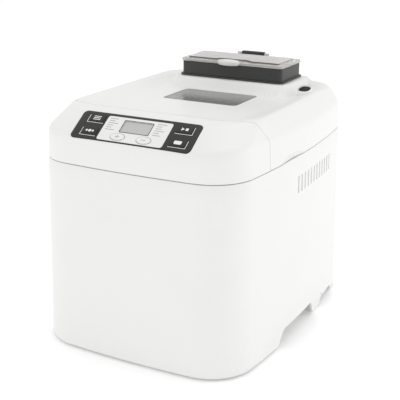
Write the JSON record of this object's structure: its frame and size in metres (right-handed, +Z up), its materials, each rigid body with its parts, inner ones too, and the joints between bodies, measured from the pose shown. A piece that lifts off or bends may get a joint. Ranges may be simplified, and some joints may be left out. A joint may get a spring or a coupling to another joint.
{
  "type": "bread machine",
  "caption": "Upright bread machine with a hinged lid, a sloped key panel, a lift-out kneading pan and a top ingredient dispenser.",
  "frame": {"origin": "on the floor, under the middle of the base", "axes": "+Z up; the control panel faces -Y; +X is to the right seen from the front"},
  "size_m": [0.2576, 0.3354, 0.286],
  "materials": {
    "white_plastic": "satin moulded white",
    "white_trim": "matt white",
    "charcoal_plastic": "fine texture, dark grey",
    "smoke_clear": "smoked clear moulding",
    "window_glass": "tinted flat glass",
    "display": "grey display behind a clear face",
    "rubber": "matt",
    "silicone": "matt grey",
    "sheet_steel": "rolled sheet",
    "bright_steel": "drawn",
    "aluminium": "die cast",
    "nonstick_coating": "satin non-stick coating",
    "motor_black": "satin black",
    "circuit_board": "solder mask"
  },
  "bodies": {
    "housing": {"outer_housing": "white_plastic", "control_deck": "white_plastic", "base_plate": "sheet_steel", "foot_front_left": "rubber", "foot_front_right": "rubber", "foot_rear_left": "rubber", "foot_rear_right": "rubber", "side_foot_left": "white_trim", "side_foot_right": "white_trim", "oven_chamber": "sheet_steel", "chamber_collar": "white_plastic", "heating_element": "bright_steel", "temperature_sensor": "aluminium", "chamber_support_left": "sheet_steel", "chamber_support_right": "sheet_steel", "bearing_housing": "aluminium", "drive_belt": "rubber", "drive_motor": "motor_black", "motor_bracket": "sheet_steel", "motor_capacitor": "white_trim", "power_board": "circuit_board", "control_board": "circuit_board", "display_module": "display", "panel_overlay": "charcoal_plastic", "panel_insert": "white_trim", "hinge_bracket_left": "sheet_steel", "hinge_bracket_right": "sheet_steel", "hinge_pin_left": "bright_steel", "hinge_pin_right": "bright_steel", "cord_bushing": "charcoal_plastic"},
    "lid": {"lid_shell": "white_plastic", "lid_window": "window_glass", "window_gasket": "silicone", "lid_liner": "sheet_steel", "lid_seal": "silicone", "steam_vent": "white_plastic", "vent_baffle": "charcoal_plastic", "dispenser_box": "charcoal_plastic", "dispenser_pin": "bright_steel", "flap_solenoid": "motor_black"},
    "dispenser_cover": {"dispenser_cover": "smoke_clear"},
    "dispenser_flap": {"dispenser_flap": "sheet_steel"},
    "pan": {"bread_pan": "nonstick_coating", "pan_base_ring": "aluminium"},
    "pan_handle": {"pan_handle": "bright_steel"},
    "kneader": {"kneading_paddle": "nonstick_coating", "pan_shaft": "bright_steel", "pan_coupling": "bright_steel"},
    "drive_line": {"drive_coupling": "bright_steel", "drive_shaft": "bright_steel", "large_pulley": "charcoal_plastic"},
    "motor_rotor": {"motor_pulley": "aluminium", "motor_shaft": "bright_steel"},
    "menu_button": {"menu_button": "charcoal_plastic"},
    "colour_button": {"colour_button": "charcoal_plastic"},
    "start_button": {"start_button": "charcoal_plastic"},
    "loaf_button": {"loaf_button": "charcoal_plastic"},
    "plus_button": {"plus_button": "white_trim"},
    "minus_button": {"minus_button": "white_trim"}
  },
  "joints": [
    {"name": "lid_hinge", "type": "hinge", "parent": "housing", "child": "lid", "pos_m": [0, 0.1626, 0.2065], "axis": [-1, 0, 0], "range_deg": [0, 88]},
    {"name": "dispenser_cover_hinge", "type": "hinge", "parent": "lid", "child": "dispenser_cover", "pos_m": [0, 0.1327, 0.2826], "axis": [-1, 0, 0], "range_deg": [0, 95]},
    {"name": "dispenser_flap_hinge", "type": "hinge", "parent": "lid", "child": "dispenser_flap", "pos_m": [0, 0.1095, 0.2394], "axis": [1, 0, 0], "range_deg": [0, 80]},
    {"name": "pan_lift", "type": "slide", "parent": "housing", "child": "pan", "axis": [0, 0, 1], "range_m": [0, 0.065]},
    {"name": "pan_handle_swing", "type": "hinge", "parent": "pan", "child": "pan_handle", "pos_m": [0, 0.02, 0.158], "axis": [0, -1, 0], "range_deg": [0, 180]},
    {"name": "drive_spin", "type": "hinge", "parent": "housing", "child": "drive_line", "pos_m": [0, 0.02, 0.03], "axis": [0, 0, 1], "continuous": true},
    {"name": "paddle_spin", "type": "hinge", "parent": "pan", "child": "kneader", "pos_m": [0, 0.02, 0.06], "axis": [0, 0, 1], "continuous": true},
    {"name": "motor_spin", "type": "hinge", "parent": "housing", "child": "motor_rotor", "pos_m": [0, -0.12, 0.03], "axis": [0, 0, 1], "continuous": true},
    {"name": "menu_press", "type": "slide", "parent": "housing", "child": "menu_button", "axis": [0, 0.5664, -0.8241], "range_m": [0, 0.0007], "stiffness_N_per_m": 600, "springref_m": -0.0005},
    {"name": "colour_press", "type": "slide", "parent": "housing", "child": "colour_button", "axis": [0, 0.5664, -0.8241], "range_m": [0, 0.0007], "stiffness_N_per_m": 600, "springref_m": -0.0005},
    {"name": "start_press", "type": "slide", "parent": "housing", "child": "start_button", "axis": [0, 0.5664, -0.8241], "range_m": [0, 0.0007], "stiffness_N_per_m": 600, "springref_m": -0.0005},
    {"name": "loaf_press", "type": "slide", "parent": "housing", "child": "loaf_button", "axis": [0, 0.5664, -0.8241], "range_m": [0, 0.0007], "stiffness_N_per_m": 600, "springref_m": -0.0005},
    {"name": "plus_press", "type": "slide", "parent": "housing", "child": "plus_button", "axis": [0, 0.5664, -0.8241], "range_m": [0, 0.0007], "stiffness_N_per_m": 600, "springref_m": -0.0005},
    {"name": "minus_press", "type": "slide", "parent": "housing", "child": "minus_button", "axis": [0, 0.5664, -0.8241], "range_m": [0, 0.0007], "stiffness_N_per_m": 600, "springref_m": -0.0005}
  ],
  "couplings": [
    {"joint": "paddle_spin", "follows": "drive_spin", "ratio": 1},
    {"joint": "motor_spin", "follows": "drive_spin", "ratio": 4.75}
  ]
}
